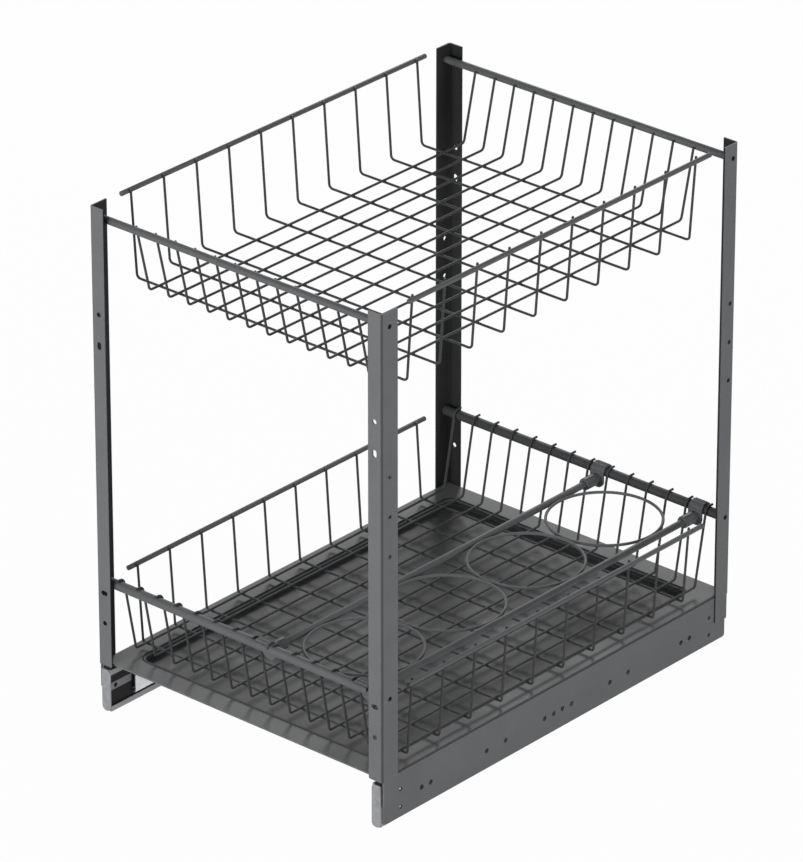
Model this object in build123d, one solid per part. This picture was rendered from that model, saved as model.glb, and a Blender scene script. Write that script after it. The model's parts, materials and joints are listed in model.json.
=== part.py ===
from build123d import *
import os
from math import asin, cos, degrees, radians, sin, sqrt

# Pull-out bottle rack: two wire baskets between four angle posts on a tray base,
# carried by a pair of 45 mm ball-bearing runners that are fixed to the cabinet floor.
# Frame: +Z up, the rack pulls out toward -Y, X runs left to right.
# Origin: cabinet floor, middle of the rack's width and of its depth when closed.

# Overall size
rack_width = 364.0
rack_depth = 513.5
rack_height = 535.5
sheet = 1.5

# Corner posts, folded from sheet as angles
face_flange = 17.0
front_side_flange = 22.0
rear_side_flange = 20.0
post_bend_inner = 1.0
flange_corner = 1.8
face_flange_drop = 3.0
side_flange_lap = 30.0
panel_hole_d = 5.0
panel_hole_edge = 9.2
panel_hole_top_drop = 110.3
panel_hole_low_rise = 43.0
panel_slot_inset = 32.5
panel_slot_length = 8.0
spare_hole_d = 4.6
spare_hole_top_drop = 167.7
spare_hole_pitch = 41.05
spare_hole_count = 3

# Base plate: an upside-down channel with a window for the drip tray
plate_front_inset = 3.3
plate_bend_inner = 1.0
skirt_floor_gap = 4.5
skirt_corner = 3.0
skirt_hole_d = 5.2
skirt_hole_above_floor = 23.5
skirt_hole_offsets = (6.5, 20.0, 77.5, 105.0, 186.0, 199.0)

# Drip tray, dropped into the window and carried by its lip
tray_side_rim = 25.5
tray_end_rim = 23.95
tray_depth = 8.0
tray_corner = 9.0
tray_sheet = 0.8
tray_lip = 3.0
tray_lip_thickness = 1.2
tray_lip_edge = 0.5
tray_floor_bend = 1.6
tray_clearance = 0.4

# Rods across the rack, screwed between the posts' side flanges
front_rod_inset = 10.9
rear_rod_inset = 7.6
upper_rod_d = 7.5
upper_rod_drop = 15.0
lower_rod_d = 10.0
lower_rod_rise = 82.7
rod_screw_head_d = 5.0
rod_screw_shank_d = 4.0
rod_screw_length = 12.0
rod_screw_end_gap = 1.0
rod_screw_recess = 0.3
rod_screw_socket = 2.5
rod_screw_socket_depth = 1.0
screw_clearance = 0.05

# Basket wires
wire_d = 2.5
side_rail_d = 5.0
side_rail_inset = 2.75
side_rail_edge = 0.4
side_rail_front = 40.0
side_rail_rear = 39.5
depth_wire_pitch = 25.0
width_wire_count = 10
width_wire_front = 49.5
width_wire_rear = 56.0
side_tip_rise = 0.3

upper_rail_drop = 1.0
upper_floor_drop = 85.2
upper_depth_wire_count = 12
upper_corner_inset = 22.0
upper_wire_bend = 4.5
upper_side_taper = 6.4
upper_front_tip_rise = 1.8
upper_rear_tip_rise = 0.5

lower_rail_rise = 85.0
lower_floor_rise = 7.3
lower_depth_wire_count = 14
lower_corner_inset = 21.0
lower_wire_bend = 3.0
lower_side_taper = 5.8
hook_tail = 4.5

# Bottle divider, clipped over the lower basket's thick rods
divider_rod_d = 7.0
divider_rod_drop = 6.2
divider_first_bay_count = 1
divider_bay_count = 5
ring_wire_d = 3.0
ring_count = 4
clip_width = 16.5
clip_wall = 2.4
clip_running_clearance = 0.1
clip_wrap_below = 10.0
clip_front_above = 13.0
clip_edge = 0.5
clip_rib_count = 4
clip_rib_first = 38.0
clip_rib_step = 24.0
clip_rib_d = 1.8
clip_rib_proud = 0.8
clip_plate_gap = 6.1
clip_plate_thickness = 2.0
clip_plate_width = 17.0
clip_plate_drop = 15.7
clip_plate_rise = 2.0
clip_plate_corner = 7.5
clip_socket_d = 12.5
clip_neck_d = 10.8
clip_neck_length = 4.5
clip_socket_reach = 27.0
clip_socket_clearance = 0.05
clip_groove_count = 8
clip_groove_d = 1.4

# Runners: outer member on the rack, middle member between, inner member on the floor rails
runner_height = 45.0
runner_sheet = 1.2
runner_floor_gap = 2.0
runner_top_gap = 6.0
runner_depth = 10.9
runner_bend = 2.4
runner_front_overhang = 2.8
runner_rear_overhang = 0.8
runner_lip = 4.3
runner_lip_gap = 0.3
runner_inner_front_gap = 33.5
runner_inner_rear_gap = 8.5
runner_middle_front_gap = 33.0
runner_middle_rear_gap = 11.0
inner_web_proud = 2.3
tab_corner = 5.0
tab_chamfer = 3.0
ball_d = 2.9
ball_clearance = 0.05
ball_count = 8
cage_thickness = 0.8
cage_length = 210.0
cage_end_margin = 14.0
cage_hole_clearance = 0.06
cage_middle = 11.0
cage_web_gap = 0.5
middle_web_gap = 0.7
flange_end_gap = 0.9
cage_bend = 1.3
bumper_length = 31.5
bumper_depth = 9.4
bumper_window_height = 8.0
bumper_window_rise = 3.5
bumper_window_length = 30.5
bumper_clearance = 0.3
bumper_corner = 1.6
strip_thickness = 1.0
detent_hole_d = 4.6
detent_hole_back = 9.3

# Rivets that hold the outer members to the skirts
skirt_rivet_d = 4.5
skirt_rivet_offset = 229.0
skirt_rivet_spread = 19.0
rivet_clearance = 0.05

# How far a cutting shape runs past the piece it cuts
overcut = 1.0

# Floor rails, screwed down in the cabinet
floor_rail_sheet = 2.0
floor_rail_width = 40.0
floor_rail_spacing = 284.0
floor_rail_bend_inner = 1.5
floor_rail_tab_height = 38.0
floor_rail_tab_corner = 6.0
floor_screw_hole_d = 5.5
floor_screw_spacing = 280.0
rail_rivet_d = 4.0
rail_rivet_head_d = 7.0
rail_rivet_head = 1.2
rail_rivet_spacing = 22.0

# Places worked out from the sizes above
half_width = rack_width / 2
half_depth = rack_depth / 2
front_face = -half_depth
rear_face = half_depth
inside_half = half_width - sheet
plate_top = runner_floor_gap + runner_height + runner_top_gap + sheet
plate_half_length = half_depth - plate_front_inset
tray_width = 2 * (inside_half - tray_side_rim)
tray_length = 2 * (plate_half_length - tray_end_rim)
skirt_inside = inside_half - sheet
front_rod_y = front_face + front_rod_inset
rear_rod_y = rear_face - rear_rod_inset
basket_middle = (front_rod_y + rear_rod_y) / 2
runner_middle_height = runner_floor_gap + runner_height / 2
ball_gap = ball_d + 2 * ball_clearance
outer_half = runner_height / 2
outer_race = outer_half - runner_sheet
middle_half = outer_race - ball_gap
middle_race = middle_half - runner_sheet
inner_half = middle_race - ball_gap
outer_ball_v = outer_race - ball_gap / 2
inner_ball_v = middle_race - ball_gap / 2
outer_cage_u = runner_sheet + cage_web_gap
middle_web_u = outer_cage_u + cage_thickness + middle_web_gap
inner_cage_u = middle_web_u + runner_sheet + cage_web_gap
inner_web_face = runner_depth + inner_web_proud
outer_front = -plate_half_length - runner_front_overhang
outer_rear = plate_half_length + runner_rear_overhang
inner_front = outer_front + runner_inner_front_gap
middle_front = outer_front + runner_middle_front_gap
side_rail_x = half_width - side_rail_inset
side_leg_x = side_rail_x - side_rail_d / 2 - wire_d / 2
upper_rod_z = rack_height - upper_rod_drop
lower_rod_z = plate_top + lower_rod_rise
divider_rod_z = lower_rod_z - divider_rod_drop
divider_left_x = depth_wire_pitch * divider_first_bay_count
divider_right_x = divider_left_x + depth_wire_pitch * divider_bay_count

written = []


def save(name, shape):
    """Write one named sub-part."""
    export_step(shape, os.path.join("parts", name + ".step"))
    written.append(name)


def save_pair(name, left_shape):
    """Write a left sub-part and its mirror image on the right."""
    save(name + "_left", left_shape)
    save(name + "_right", mirror(left_shape, about=Plane.YZ))


def block(x_range, y_range, z_range):
    """Box between two corners, each range given low to high."""
    lows = (x_range[0], y_range[0], z_range[0])
    size = (x_range[1] - lows[0], y_range[1] - lows[1], z_range[1] - lows[2])
    return Pos(*lows) * Box(*size, align=(Align.MIN, Align.MIN, Align.MIN))


def rod_along_x(diameter, x_start, x_end, y, z):
    """Round bar parallel to X."""
    bar = Cylinder(diameter / 2, x_end - x_start, align=(Align.CENTER, Align.CENTER, Align.MIN))
    return Pos(x_start, y, z) * Rot(0, 90, 0) * bar


def rod_along_y(diameter, y_start, y_end, x, z):
    """Round bar parallel to Y."""
    bar = Cylinder(diameter / 2, y_end - y_start, align=(Align.CENTER, Align.CENTER, Align.MIN))
    return Pos(x, y_start, z) * Rot(-90, 0, 0) * bar


def rod_along_z(diameter, z_start, z_end, x, y):
    """Round bar parallel to Z."""
    bar = Cylinder(diameter / 2, z_end - z_start, align=(Align.CENTER, Align.CENTER, Align.MIN))
    return Pos(x, y, z_start) * bar


def swept_wire(path, diameter):
    """Round wire along a path of straight runs and tangent arcs."""
    section = Plane(origin=path @ 0, z_dir=path % 0) * Circle(diameter / 2)
    return sweep(section, path=path)


# Posts

def post_hole_drops():
    """Distances of the side flange's spare holes below the post's top."""
    return [spare_hole_top_drop + spare_hole_pitch * n for n in range(spare_hole_count)]


def left_post(side_flange, corner_y, inward, rod_inset):
    """Angle post on the left, folded round the corner at corner_y; inward is +1 at the front."""
    outer_bend = post_bend_inner + sheet
    side_bottom = plate_top - side_flange_lap
    face_bottom = plate_top - face_flange_drop

    def span(near, far):
        edges = sorted((corner_y + inward * near, corner_y + inward * far))
        return (edges[0], edges[1])

    post = block((-half_width, -half_width + face_flange), span(0, side_flange), (side_bottom, rack_height))
    post = fillet(post.edges().filter_by(Axis.Z).sort_by_distance((-half_width, corner_y, 0))[0], outer_bend)
    pocket = block(
        (-inside_half, -half_width + face_flange + sheet),
        span(sheet, side_flange + sheet),
        (side_bottom - sheet, rack_height + sheet),
    )
    inner_corner = pocket.edges().filter_by(Axis.Z).sort_by_distance((-inside_half, corner_y, 0))[0]
    pocket = fillet(inner_corner, post_bend_inner)
    post -= pocket
    post -= block(
        (-inside_half - post_bend_inner + sheet, -half_width + face_flange + sheet),
        span(-sheet, 2 * sheet),
        (side_bottom - sheet, face_bottom),
    )
    post -= block(
        (-half_width - sheet, -inside_half + sheet),
        span(-sheet, outer_bend),
        (side_bottom - sheet, face_bottom),
    )
    post = fillet(post_bottom_corners(post, side_bottom, face_bottom), flange_corner)
    return post - post_holes(corner_y, inward, rod_inset)


def post_bottom_corners(post, side_bottom, face_bottom):
    """The two lower corners of the side flange and the inner lower corner of the face flange."""
    across_x = post.edges().filter_by(Axis.X)
    side_corners = [e for e in across_x if abs(e.center().Z - side_bottom) < sheet / 2]
    across_y = post.edges().filter_by(Axis.Y)
    face_corners = [
        e for e in across_y
        if abs(e.center().Z - face_bottom) < sheet / 2 and e.center().X > -half_width + face_flange - sheet
    ]
    return side_corners + face_corners


def post_holes(corner_y, inward, rod_inset):
    """All the holes of one left post."""
    hole_y = corner_y + inward * rod_inset
    x_range = (-half_width - sheet, -inside_half + sheet)
    y_range = sorted((corner_y - inward * sheet, corner_y + inward * sheet * 2))
    panel_x = -half_width + panel_hole_edge
    top_hole_z = rack_height - panel_hole_top_drop
    low_hole_z = plate_top + panel_hole_low_rise
    screw_hole_d = rod_screw_head_d + 2 * screw_clearance
    holes = []
    for z in (upper_rod_z, lower_rod_z):
        holes.append(rod_along_x(screw_hole_d, *x_range, hole_y, z))
    for drop in post_hole_drops():
        holes.append(rod_along_x(spare_hole_d, *x_range, hole_y, rack_height - drop))
    for z in (top_hole_z, low_hole_z):
        holes.append(rod_along_y(panel_hole_d, *y_range, panel_x, z))
    slot = SlotOverall(panel_slot_length, panel_hole_d)
    cut_depth = y_range[1] - y_range[0]
    for z, turn in ((top_hole_z - panel_slot_inset, 90), (low_hole_z + panel_slot_inset, 0)):
        plane = Plane(origin=(panel_x, y_range[1], z), x_dir=(1, 0, 0), z_dir=(0, -1, 0))
        holes.append(extrude(plane * Rot(0, 0, turn) * slot, amount=cut_depth))
    return holes


def make_posts():
    front = left_post(front_side_flange, front_face, 1, front_rod_inset)
    rear = left_post(rear_side_flange, rear_face, -1, rear_rod_inset)
    save_pair("front_post", front)
    save_pair("rear_post", rear)


# Base plate and drip tray

def rounded_block(width, length, corner, z_range):
    """Flat block with rounded upright corners, centred on the origin."""
    outline = RectangleRounded(width, length, corner)
    return Pos(0, 0, z_range[0]) * extrude(outline, amount=z_range[1] - z_range[0])


def tray_wall_size():
    """Outside width and length of the tray's walls, below the lip."""
    return (tray_width - 2 * tray_lip + 2 * tray_sheet, tray_length - 2 * tray_lip + 2 * tray_sheet)


def base_channel():
    """Folded sheet: a flat top with a skirt down each side, open at the front and the rear."""
    outer_bend = plate_bend_inner + sheet
    plate = block(
        (-inside_half, inside_half),
        (-plate_half_length, plate_half_length),
        (skirt_floor_gap, plate_top),
    )
    top_edges = plate.edges().filter_by(Axis.Y).sort_by(Axis.Z)[-2:]
    plate = fillet(top_edges, outer_bend)
    hollow = block(
        (-skirt_inside, skirt_inside),
        (-plate_half_length - sheet, plate_half_length + sheet),
        (skirt_floor_gap - sheet, plate_top - sheet),
    )
    hollow = fillet(hollow.edges().filter_by(Axis.Y).sort_by(Axis.Z)[-2:], plate_bend_inner)
    plate -= hollow
    return fillet(plate.edges().filter_by(Axis.X).group_by(Axis.Z)[0], skirt_corner)


def skirt_row_places():
    """Places along Y of the row of holes in each skirt."""
    return [side * offset for offset in skirt_hole_offsets for side in (-1, 1)]


def skirt_rivet_places():
    """Y and Z of the rivets that hold one outer member to its skirt."""
    spread = skirt_rivet_spread / 2
    return [
        (side * skirt_rivet_offset, runner_middle_height + up * spread)
        for side in (-1, 1)
        for up in (-1, 1)
    ]


def left_skirt_holes(hole_d, rivet_hole_d, x_range):
    """Bars that cut the row of holes and the rivet holes on the left side."""
    bars = [rod_along_x(hole_d, *x_range, y, skirt_hole_above_floor) for y in skirt_row_places()]
    bars += [rod_along_x(rivet_hole_d, *x_range, y, z) for y, z in skirt_rivet_places()]
    return bars


def make_base_plate():
    wall_width, wall_length = tray_wall_size()
    window_corner = tray_corner + tray_clearance
    window = rounded_block(
        wall_width + 2 * tray_clearance,
        wall_length + 2 * tray_clearance,
        window_corner,
        (plate_top - 2 * sheet, plate_top + sheet),
    )
    plate = base_channel() - window
    left_bars = left_skirt_holes(
        skirt_hole_d,
        skirt_rivet_d + 2 * rivet_clearance,
        (-inside_half - sheet, -skirt_inside + sheet),
    )
    plate -= left_bars
    plate -= [mirror(bar, about=Plane.YZ) for bar in left_bars]
    save("base_plate", plate)


def make_drip_tray():
    wall_width, wall_length = tray_wall_size()
    lip_top = plate_top + tray_lip_thickness
    floor_low = plate_top - tray_depth
    wall = rounded_block(wall_width, wall_length, tray_corner, (floor_low, lip_top))
    lip = rounded_block(
        tray_width + 2 * tray_clearance,
        tray_length + 2 * tray_clearance,
        tray_corner + tray_lip - tray_sheet,
        (plate_top, lip_top),
    )
    hollow = rounded_block(
        wall_width - 2 * tray_sheet,
        wall_length - 2 * tray_sheet,
        tray_corner - tray_sheet,
        (floor_low + tray_sheet, lip_top + sheet),
    )
    tray = fillet(wall.edges().group_by(Axis.Z)[0], tray_floor_bend)
    tray += lip
    tray = fillet(tray.edges().group_by(Axis.Z)[-1], tray_lip_edge)
    tray -= fillet(hollow.edges().group_by(Axis.Z)[0], tray_floor_bend - tray_sheet)
    save("drip_tray", tray)


# Cross rods and their screws

def make_cross_rod(name, diameter, y, z):
    """Rod between the side flanges, with a blind screw bore in each end."""
    bore_d = rod_screw_shank_d + 2 * screw_clearance
    bore_length = rod_screw_length + rod_screw_end_gap
    rod = rod_along_x(diameter, -inside_half, inside_half, y, z)
    rod -= rod_along_x(bore_d, -inside_half - overcut, -inside_half + bore_length, y, z)
    rod -= rod_along_x(bore_d, inside_half - bore_length, inside_half + overcut, y, z)
    save(name, rod)


def left_rod_screw(y, z):
    """Flush screw through the left side flange into the end of a rod."""
    head_face = -half_width + rod_screw_recess
    screw = rod_along_x(rod_screw_head_d, head_face, -inside_half, y, z)
    screw += rod_along_x(rod_screw_shank_d, -inside_half, -inside_half + rod_screw_length, y, z)
    plane = Plane(origin=(head_face, y, z), x_dir=(0, 1, 0), z_dir=(1, 0, 0))
    socket = RegularPolygon(rod_screw_socket / 2, 6, major_radius=False)
    screw -= extrude(plane * socket, amount=rod_screw_socket_depth)
    return screw


def make_rods():
    for place, y in (("front", front_rod_y), ("rear", rear_rod_y)):
        make_cross_rod("upper_basket_" + place + "_rod", upper_rod_d, y, upper_rod_z)
        make_cross_rod("lower_basket_" + place + "_rod", lower_rod_d, y, lower_rod_z)
    left_screws = [
        left_rod_screw(y, z)
        for z in (upper_rod_z, lower_rod_z)
        for y in (front_rod_y, rear_rod_y)
    ]
    right_screws = [mirror(screw, about=Plane.YZ) for screw in left_screws]
    save("rod_screws", Compound(children=left_screws + right_screws))


# Basket wires

def depth_wire_places(count):
    """Places across the rack of the wires that run front to rear."""
    return [(n - (count - 1) / 2) * depth_wire_pitch for n in range(count)]


def width_wire_places():
    """Places along the rack of the wires that run side to side."""
    first = front_face + width_wire_front
    pitch = (rear_face - width_wire_rear - first) / (width_wire_count - 1)
    return [first + n * pitch for n in range(width_wire_count)]


def upper_depth_wire(x):
    """U-shaped wire whose tips are welded to the inner side of the front and rear rods."""
    reach = upper_rod_d / 2 + wire_d / 2
    floor_z = rack_height - upper_floor_drop
    points = [
        (x, front_rod_y + reach, upper_rod_z + upper_front_tip_rise),
        (x, front_rod_y + upper_corner_inset, floor_z),
        (x, rear_rod_y - upper_corner_inset, floor_z),
        (x, rear_rod_y - reach, upper_rod_z + upper_rear_tip_rise),
    ]
    return swept_wire(FilletPolyline(*points, radius=upper_wire_bend), wire_d)


def lower_depth_wire(x):
    """U-shaped wire that hooks over the thick front and rear rods, with straight tails."""
    reach = lower_rod_d / 2 + wire_d / 2
    floor_z = plate_top + lower_floor_rise
    fall = lower_rod_z - floor_z
    to_corner = sqrt(lower_corner_inset * lower_corner_inset + fall * fall)
    # each leg leaves its hook along the tangent that runs to the floor corner
    leave = degrees(asin(lower_corner_inset / to_corner) - asin(reach / to_corner))
    angles = (90, (90 + leave) / 2, leave)
    front = [hook_point(x, front_rod_y, 1, reach, angle) for angle in angles]
    rear = [hook_point(x, rear_rod_y, -1, reach, angle) for angle in reversed(angles)]
    corners = [
        front[-1],
        (x, front_rod_y + lower_corner_inset, floor_z),
        (x, rear_rod_y - lower_corner_inset, floor_z),
        rear[0],
    ]
    path = Line(tail_end(front[0], -1), front[0]) + ThreePointArc(*front)
    path += FilletPolyline(*corners, radius=lower_wire_bend)
    path += ThreePointArc(*rear) + Line(rear[-1], tail_end(rear[-1], 1))
    return swept_wire(Wire(path.edges()), wire_d)


def hook_point(x, rod_y, inward, reach, angle):
    """Point on a hook's centre line; angle 0 is level on the basket's side, 90 is the top."""
    turn = radians(angle)
    return (x, rod_y + inward * reach * cos(turn), lower_rod_z + reach * sin(turn))


def tail_end(top, outward):
    """End of a hook's straight tail, level with the top of its bend."""
    return (top[0], top[1] + outward * hook_tail, top[2])


def width_wire(y, rail_z, floor_z, taper, bend):
    """U-shaped wire whose tips are welded to the inner side of the side rails."""
    tip_z = rail_z + side_rail_d / 2 + side_tip_rise
    points = [
        (-side_leg_x, y, tip_z),
        (-side_leg_x + taper, y, floor_z),
        (side_leg_x - taper, y, floor_z),
        (side_leg_x, y, tip_z),
    ]
    return swept_wire(FilletPolyline(*points, radius=bend), wire_d)


def make_side_rails(basket, rail_z):
    y_range = (front_face + side_rail_front, rear_face - side_rail_rear)
    rail = rod_along_y(side_rail_d, *y_range, -side_rail_x, rail_z)
    rail = chamfer(rail.edges().filter_by(GeomType.CIRCLE), side_rail_edge)
    save_pair(basket + "_side_rail", rail)


def make_baskets():
    upper_rail_z = rack_height - upper_rail_drop
    upper_width_floor = rack_height - upper_floor_drop - wire_d
    lower_rail_z = plate_top + lower_rail_rise
    lower_width_floor = plate_top + lower_floor_rise - wire_d
    make_side_rails("upper_basket", upper_rail_z)
    make_side_rails("lower_basket", lower_rail_z)
    upper_depth = [upper_depth_wire(x) for x in depth_wire_places(upper_depth_wire_count)]
    lower_depth = [lower_depth_wire(x) for x in depth_wire_places(lower_depth_wire_count)]
    upper_width = [
        width_wire(y, upper_rail_z, upper_width_floor, upper_side_taper, upper_wire_bend)
        for y in width_wire_places()
    ]
    lower_width = [
        width_wire(y, lower_rail_z, lower_width_floor, lower_side_taper, lower_wire_bend)
        for y in width_wire_places()
    ]
    save("upper_basket_depth_wires", Compound(children=upper_depth))
    save("upper_basket_width_wires", Compound(children=upper_width))
    save("lower_basket_depth_wires", Compound(children=lower_depth))
    save("lower_basket_width_wires", Compound(children=lower_width))


# Bottle divider

def clip_saddle(x):
    """Shell over the front rod, open downward, with ribs along its outside."""
    outer = lower_rod_d / 2 + clip_running_clearance + clip_wall
    low = lower_rod_z - outer * sin(radians(clip_wrap_below))
    front_edge = lower_rod_z + outer * sin(radians(clip_front_above))
    shell = rod_along_x(2 * outer, x - clip_width / 2, x + clip_width / 2, front_rod_y, lower_rod_z)
    shell = fillet(shell.edges().filter_by(GeomType.CIRCLE), clip_edge)
    reach = outer + overcut
    below = block(
        (x - clip_width, x + clip_width),
        (front_rod_y - reach, front_rod_y + reach),
        (lower_rod_z - reach, low),
    )
    before = block(
        (x - clip_width, x + clip_width),
        (front_rod_y - reach, front_rod_y),
        (lower_rod_z - reach, front_edge),
    )
    return shell - below - before + saddle_ribs(x, outer)


def saddle_ribs(x, outer):
    """Half-sunk bars along the saddle, counted from its front edge upward."""
    half_length = clip_width / 2 - clip_edge
    out = outer - clip_rib_d / 2 + clip_rib_proud
    ribs = []
    for n in range(clip_rib_count):
        turn = radians(clip_rib_first + n * clip_rib_step)
        y = front_rod_y - out * cos(turn)
        z = lower_rod_z + out * sin(turn)
        ribs.append(rod_along_x(clip_rib_d, x - half_length, x + half_length, y, z))
    return ribs


def socket_grooves(x, y_start, y_end):
    """Bars that cut the grip grooves along a socket."""
    grooves = []
    for n in range(clip_groove_count):
        turn = radians(360 * (n + 0.5) / clip_groove_count)
        groove_x = x + clip_socket_d / 2 * cos(turn)
        groove_z = divider_rod_z + clip_socket_d / 2 * sin(turn)
        grooves.append(rod_along_y(clip_groove_d, y_start, y_end, groove_x, groove_z))
    return grooves


def clip_plate(x):
    """Round-bottomed flange plate behind the rod, between two hooks."""
    top_z = lower_rod_z + clip_plate_rise
    plate_back = front_rod_y + clip_plate_gap + clip_plate_thickness
    plane = Plane(origin=(x, plate_back, top_z), x_dir=(1, 0, 0), z_dir=(0, -1, 0))
    outline = Rectangle(clip_plate_width, clip_plate_drop + clip_plate_rise, align=(Align.CENTER, Align.MAX))
    outline = fillet(outline.vertices().group_by(Axis.Y)[0], clip_plate_corner)
    plate = extrude(plane * outline, amount=clip_plate_thickness)
    return fillet(plate.faces().sort_by(Axis.Y)[-1].edges(), clip_edge)


def front_clip(x):
    """Moulded clip: saddle, flange plate, neck and socket for one divider rod."""
    inner_d = lower_rod_d + 2 * clip_running_clearance
    plate_y = front_rod_y + clip_plate_gap
    plate_back = plate_y + clip_plate_thickness
    socket_end = front_rod_y + clip_socket_reach
    socket_start = plate_back + clip_neck_length
    socket = rod_along_y(clip_socket_d, socket_start, socket_end, x, divider_rod_z)
    socket = fillet(socket.edges().filter_by(GeomType.CIRCLE), clip_edge)
    socket -= socket_grooves(x, socket_start + clip_groove_d, socket_end + overcut)
    clip = clip_saddle(x) + clip_plate(x)
    clip += rod_along_y(clip_neck_d, plate_y, socket_start + clip_edge, x, divider_rod_z)
    clip += socket
    clip -= rod_along_x(inner_d, x - clip_width, x + clip_width, front_rod_y, lower_rod_z)
    bore_d = divider_rod_d + 2 * clip_socket_clearance
    clip -= rod_along_y(bore_d, plate_back, socket_end + overcut, x, divider_rod_z)
    return clip


def make_divider():
    about_middle = Plane(origin=(0, basket_middle, 0), z_dir=(0, 1, 0))
    rod_start = front_rod_y + clip_plate_gap + clip_plate_thickness
    rod_end = rear_rod_y - clip_plate_gap - clip_plate_thickness
    for side, x in (("left", divider_left_x), ("right", divider_right_x)):
        clip = front_clip(x)
        save("divider_clip_front_" + side, clip)
        save("divider_clip_rear_" + side, mirror(clip, about=about_middle))
        save("divider_rod_" + side, rod_along_y(divider_rod_d, rod_start, rod_end, x, divider_rod_z))
    ring_outer = divider_right_x - divider_left_x - divider_rod_d
    ring_centre_x = (divider_left_x + divider_right_x) / 2
    for n in range(ring_count):
        y = basket_middle + (n - (ring_count - 1) / 2) * ring_outer
        ring = Torus(ring_outer / 2 - ring_wire_d / 2, ring_wire_d / 2)
        save("divider_ring_" + str(n + 1), Pos(ring_centre_x, y, divider_rod_z) * ring)


# Runners, drawn on the left: u is the distance inward from the skirt

def channel_section(u_start, u_end, half_height, thickness, bend, web_inside):
    """C section between u_start and u_end; the web is on the cabinet side when web_inside is true."""
    width = u_end - u_start
    whole = RectangleRounded(2 * width, 2 * half_height, bend)
    gap = RectangleRounded(2 * (width - thickness), 2 * (half_height - thickness), bend - thickness)
    half = Rectangle(width, 2 * half_height, align=(Align.MAX, Align.CENTER))
    section = (whole - gap) & half
    if web_inside:
        section = mirror(section, about=Plane.YZ)
        return Pos(u_start, 0) * section
    return Pos(u_end, 0) * section


def along_runner(section, y_start, y_end):
    """Extrude a section in (u, v) along Y at the left skirt's inner face."""
    plane = Plane(origin=(-skirt_inside, y_start, runner_middle_height), x_dir=(1, 0, 0), z_dir=(0, -1, 0))
    return extrude(plane * section, amount=-(y_end - y_start))


def outer_member():
    """Outer member with race lips, closed at the front by a folded tab."""
    section = channel_section(0, runner_depth, outer_half, runner_sheet, runner_bend, False)
    for up in (-1, 1):
        lip = Rectangle(runner_sheet, runner_lip, align=(Align.MAX, Align.CENTER))
        section += Pos(runner_depth, up * (outer_race - runner_lip / 2)) * lip
    member = along_runner(section, outer_front, outer_rear)
    tab_outline = Rectangle(runner_depth, runner_height, align=(Align.MIN, Align.CENTER))
    tab_outline = fillet(tab_outline.vertices().group_by(Axis.Y)[0], tab_corner)
    top_inner = tab_outline.vertices().sort_by_distance((runner_depth, outer_half, 0))[0]
    tab_outline = chamfer(top_inner, tab_chamfer)
    tab = along_runner(tab_outline, outer_front, outer_front + runner_sheet)
    cap = block(
        (-skirt_inside - overcut, -skirt_inside + runner_depth + overcut),
        (outer_front - overcut, outer_front + runner_sheet),
        (runner_floor_gap - overcut, runner_floor_gap + runner_height + overcut),
    )
    member = (member - cap) + tab
    rivet_hole = skirt_rivet_d + 2 * rivet_clearance
    x_range = (-skirt_inside - sheet, -skirt_inside + runner_sheet + cage_web_gap)
    member -= left_skirt_holes(skirt_hole_d, rivet_hole, x_range)
    return member


def middle_member():
    section = channel_section(
        middle_web_u,
        runner_depth - runner_sheet - runner_lip_gap,
        middle_half,
        runner_sheet,
        runner_bend,
        False,
    )
    return along_runner(section, middle_front, outer_rear - runner_middle_rear_gap)


def inner_member():
    """Inner member, its web facing the cabinet, with a hole for each rail rivet."""
    flange_start = inner_cage_u + cage_thickness + cage_web_gap
    section = channel_section(flange_start, inner_web_face, inner_half, runner_sheet, runner_bend, True)
    member = along_runner(section, inner_front, outer_rear - runner_inner_rear_gap)
    x_range = (-skirt_inside + inner_web_face - 2 * runner_sheet, -skirt_inside + inner_web_face + overcut)
    hole_d = rail_rivet_d + 2 * rivet_clearance
    member -= [rod_along_x(hole_d, *x_range, y, z) for y, z in rail_rivet_places()]
    return member


def ball_places():
    """Places along Y of the balls in one row of a cage."""
    first = cage_middle - cage_length / 2 + cage_end_margin
    pitch = (cage_length - 2 * cage_end_margin) / (ball_count - 1)
    return [first + n * pitch for n in range(ball_count)]


def cage_and_balls(web_u, flange_reach, ball_u, ball_v):
    """Pressed U-shaped cage with a row of balls in each leg."""
    half = ball_v + cage_thickness / 2
    section = channel_section(web_u, flange_reach, half, cage_thickness, cage_bend, False)
    cage = along_runner(section, cage_middle - cage_length / 2, cage_middle + cage_length / 2)
    x = -skirt_inside + ball_u
    balls = []
    for y in ball_places():
        for up in (-1, 1):
            z = runner_middle_height + up * ball_v
            hole_d = ball_d + 2 * cage_hole_clearance
            cage -= rod_along_z(hole_d, z - cage_thickness, z + cage_thickness, x, y)
            balls.append(Pos(x, y, z) * Sphere(ball_d / 2))
    return cage, Compound(children=balls)


def bumper():
    """Plastic end stop in the front of the outer member, with a groove for its steel strip."""
    y_start = outer_front + runner_sheet
    height = 2 * (outer_race - bumper_clearance)
    body = Rectangle(bumper_depth - runner_sheet, height, align=(Align.MIN, Align.CENTER))
    body = chamfer(body.vertices(), bumper_corner)
    part = along_runner(Pos(runner_sheet, 0) * body, y_start, y_start + bumper_length)
    groove = Rectangle(strip_thickness + overcut, bumper_window_height, align=(Align.MIN, Align.CENTER))
    groove = Pos(bumper_depth - strip_thickness, bumper_window_rise) * groove
    return part - along_runner(groove, y_start - overcut, y_start + bumper_window_length)


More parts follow.
